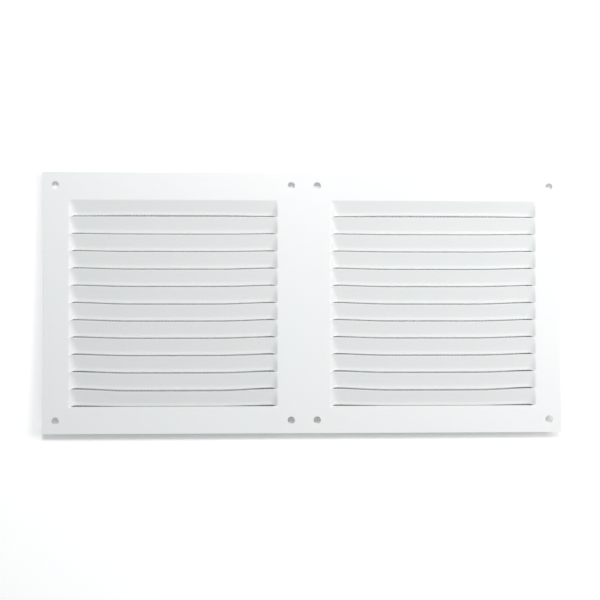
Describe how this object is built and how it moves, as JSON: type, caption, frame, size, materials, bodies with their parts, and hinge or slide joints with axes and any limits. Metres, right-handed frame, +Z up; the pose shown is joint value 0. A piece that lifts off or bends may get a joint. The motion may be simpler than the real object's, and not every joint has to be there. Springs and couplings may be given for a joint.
{
  "type": "louvred air grille",
  "caption": "Flat pressed-sheet wall grille with two side-by-side blocks of fixed downward louvres, plain fixing holes round its rim and an insect screen behind each block.",
  "frame": {"origin": "centre of the sheet's flat back face, which lies against the wall", "axes": "+X along the grille's width, to the right seen from the front; +Y backwards into the wall, so the louvred front faces -Y; +Z up"},
  "size_m": [0.3, 0.0045, 0.15],
  "materials": {
    "coated_sheet": "white baked polyester coating on sheet metal, semi-gloss",
    "screen_wire": "woven aluminium wire, plain mill finish",
    "spacer_rubber": "self-adhesive EPDM rubber strip, dark grey, matt"
  },
  "bodies": {
    "root": {"louvred_panel": "coated_sheet", "insect_screen_left": "screen_wire", "insect_screen_right": "screen_wire", "spacer_left_top": "spacer_rubber", "spacer_left_bottom": "spacer_rubber", "spacer_left_outer": "spacer_rubber", "spacer_left_inner": "spacer_rubber", "spacer_right_top": "spacer_rubber", "spacer_right_bottom": "spacer_rubber", "spacer_right_outer": "spacer_rubber", "spacer_right_inner": "spacer_rubber"}
  },
  "joints": []
}
